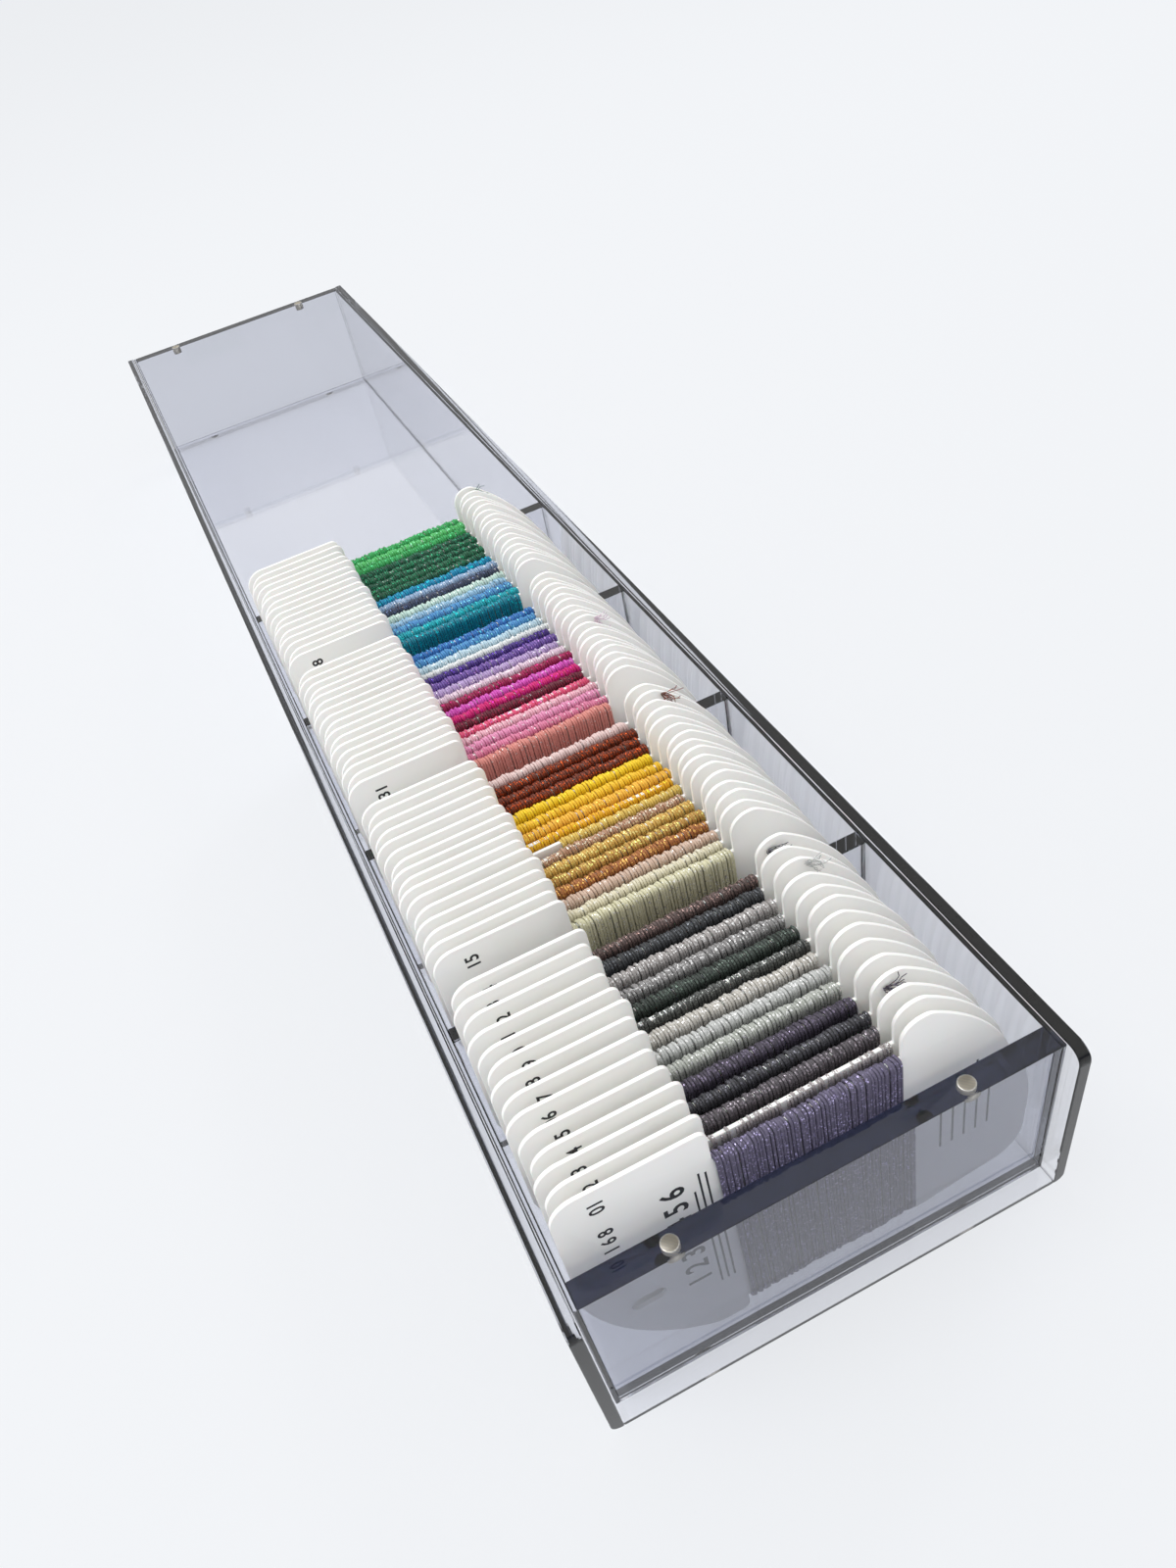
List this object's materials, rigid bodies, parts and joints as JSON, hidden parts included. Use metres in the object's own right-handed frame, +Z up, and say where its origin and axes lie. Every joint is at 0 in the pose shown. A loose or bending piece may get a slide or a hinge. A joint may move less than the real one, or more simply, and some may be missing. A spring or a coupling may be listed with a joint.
{
  "type": "embroidery thread box",
  "caption": "Long clear tray with dividers, packed with cards of wound embroidery thread and an empty bay, standing in its upturned U-shaped cover.",
  "frame": {"origin": "middle of the underside of the cover, on the surface it stands on", "axes": "+Z up, +Y along the box from the end with the grey cards to the empty bay, +X to the right as seen from the near end"},
  "size_m": [0.1188, 0.5702, 0.0723],
  "materials": {
    "acrylic": "clear polished acrylic",
    "magnet": "nickel plated",
    "card": "smooth white plastic",
    "thread_slate": "wound embroidery thread",
    "thread_charcoal": "wound embroidery thread",
    "thread_silver": "wound embroidery thread",
    "thread_gunmetal": "wound embroidery thread",
    "thread_steel": "wound embroidery thread",
    "thread_black": "wound embroidery thread",
    "thread_pearl": "wound embroidery thread",
    "thread_cream": "wound embroidery thread",
    "thread_gold": "wound embroidery thread",
    "thread_yellow": "wound embroidery thread",
    "thread_copper": "wound embroidery thread",
    "thread_blush": "wound embroidery thread",
    "thread_salmon": "wound embroidery thread",
    "thread_pink": "wound embroidery thread",
    "thread_magenta": "wound embroidery thread",
    "thread_lilac": "wound embroidery thread",
    "thread_ice": "wound embroidery thread",
    "thread_azure": "wound embroidery thread",
    "thread_navy": "wound embroidery thread",
    "thread_forest": "wound embroidery thread",
    "thread_emerald": "wound embroidery thread"
  },
  "bodies": {
    "cover": {"cover_plate": "acrylic", "cover_skirt_left": "acrylic", "cover_skirt_right": "acrylic", "cover_magnets": "magnet"},
    "tray": {"tray_floor": "acrylic", "tray_side_left": "acrylic", "tray_side_right": "acrylic", "tray_end_near": "acrylic", "tray_end_far": "acrylic", "tray_divider_1": "acrylic", "tray_divider_2": "acrylic", "tray_divider_3": "acrylic", "tray_divider_4": "acrylic", "tray_magnets": "magnet"},
    "slate_cards": {"cards_slate": "card", "thread_slate": "thread_slate"},
    "charcoal_cards": {"cards_charcoal": "card", "thread_charcoal": "thread_charcoal"},
    "silver_cards": {"cards_silver": "card", "thread_silver": "thread_silver"},
    "gunmetal_cards": {"cards_gunmetal": "card", "thread_gunmetal": "thread_gunmetal"},
    "steel_cards": {"cards_steel": "card", "thread_steel": "thread_steel"},
    "black_cards": {"cards_black": "card", "thread_black": "thread_black"},
    "pearl_cards": {"cards_pearl": "card", "thread_pearl": "thread_pearl"},
    "cream_cards": {"cards_cream": "card", "thread_cream": "thread_cream"},
    "gold_cards": {"cards_gold": "card", "thread_gold": "thread_gold"},
    "yellow_cards": {"cards_yellow": "card", "thread_yellow": "thread_yellow"},
    "copper_cards": {"cards_copper": "card", "thread_copper": "thread_copper"},
    "blush_cards": {"cards_blush": "card", "thread_blush": "thread_blush"},
    "salmon_cards": {"cards_salmon": "card", "thread_salmon": "thread_salmon"},
    "pink_cards": {"cards_pink": "card", "thread_pink": "thread_pink"},
    "magenta_cards": {"cards_magenta": "card", "thread_magenta": "thread_magenta"},
    "lilac_cards": {"cards_lilac": "card", "thread_lilac": "thread_lilac"},
    "ice_cards": {"cards_ice": "card", "thread_ice": "thread_ice"},
    "azure_cards": {"cards_azure": "card", "thread_azure": "thread_azure"},
    "navy_cards": {"cards_navy": "card", "thread_navy": "thread_navy"},
    "forest_cards": {"cards_forest": "card", "thread_forest": "thread_forest"},
    "emerald_cards": {"cards_emerald": "card", "thread_emerald": "thread_emerald"}
  },
  "joints": [
    {"name": "tray_lift", "type": "slide", "parent": "cover", "child": "tray", "axis": [0, 0, 1], "range_m": [0, 0.06]},
    {"name": "slate_cards_lift", "type": "slide", "parent": "tray", "child": "slate_cards", "axis": [0, 0.0349, 0.9994], "range_m": [0, 0.07]},
    {"name": "charcoal_cards_lift", "type": "slide", "parent": "tray", "child": "charcoal_cards", "axis": [0, 0.0349, 0.9994], "range_m": [0, 0.07]},
    {"name": "silver_cards_lift", "type": "slide", "parent": "tray", "child": "silver_cards", "axis": [0, 0.0349, 0.9994], "range_m": [0, 0.07]},
    {"name": "gunmetal_cards_lift", "type": "slide", "parent": "tray", "child": "gunmetal_cards", "axis": [0, 0.0349, 0.9994], "range_m": [0, 0.07]},
    {"name": "steel_cards_lift", "type": "slide", "parent": "tray", "child": "steel_cards", "axis": [0, 0.0349, 0.9994], "range_m": [0, 0.07]},
    {"name": "black_cards_lift", "type": "slide", "parent": "tray", "child": "black_cards", "axis": [0, 0.0349, 0.9994], "range_m": [0, 0.07]},
    {"name": "pearl_cards_lift", "type": "slide", "parent": "tray", "child": "pearl_cards", "axis": [0, 0.0349, 0.9994], "range_m": [0, 0.07]},
    {"name": "cream_cards_lift", "type": "slide", "parent": "tray", "child": "cream_cards", "axis": [0, 0.0349, 0.9994], "range_m": [0, 0.07]},
    {"name": "gold_cards_lift", "type": "slide", "parent": "tray", "child": "gold_cards", "axis": [0, 0.0349, 0.9994], "range_m": [0, 0.07]},
    {"name": "yellow_cards_lift", "type": "slide", "parent": "tray", "child": "yellow_cards", "axis": [0, 0.0349, 0.9994], "range_m": [0, 0.07]},
    {"name": "copper_cards_lift", "type": "slide", "parent": "tray", "child": "copper_cards", "axis": [0, 0.0349, 0.9994], "range_m": [0, 0.07]},
    {"name": "blush_cards_lift", "type": "slide", "parent": "tray", "child": "blush_cards", "axis": [0, 0.0349, 0.9994], "range_m": [0, 0.07]},
    {"name": "salmon_cards_lift", "type": "slide", "parent": "tray", "child": "salmon_cards", "axis": [0, 0.0349, 0.9994], "range_m": [0, 0.07]},
    {"name": "pink_cards_lift", "type": "slide", "parent": "tray", "child": "pink_cards", "axis": [0, 0.0349, 0.9994], "range_m": [0, 0.07]},
    {"name": "magenta_cards_lift", "type": "slide", "parent": "tray", "child": "magenta_cards", "axis": [0, 0.0349, 0.9994], "range_m": [0, 0.07]},
    {"name": "lilac_cards_lift", "type": "slide", "parent": "tray", "child": "lilac_cards", "axis": [0, 0.0349, 0.9994], "range_m": [0, 0.07]},
    {"name": "ice_cards_lift", "type": "slide", "parent": "tray", "child": "ice_cards", "axis": [0, 0.0349, 0.9994], "range_m": [0, 0.07]},
    {"name": "azure_cards_lift", "type": "slide", "parent": "tray", "child": "azure_cards", "axis": [0, 0.0349, 0.9994], "range_m": [0, 0.07]},
    {"name": "navy_cards_lift", "type": "slide", "parent": "tray", "child": "navy_cards", "axis": [0, 0.0349, 0.9994], "range_m": [0, 0.07]},
    {"name": "forest_cards_lift", "type": "slide", "parent": "tray", "child": "forest_cards", "axis": [0, 0.0349, 0.9994], "range_m": [0, 0.07]},
    {"name": "emerald_cards_lift", "type": "slide", "parent": "tray", "child": "emerald_cards", "axis": [0, 0.0349, 0.9994], "range_m": [0, 0.07]}
  ]
}
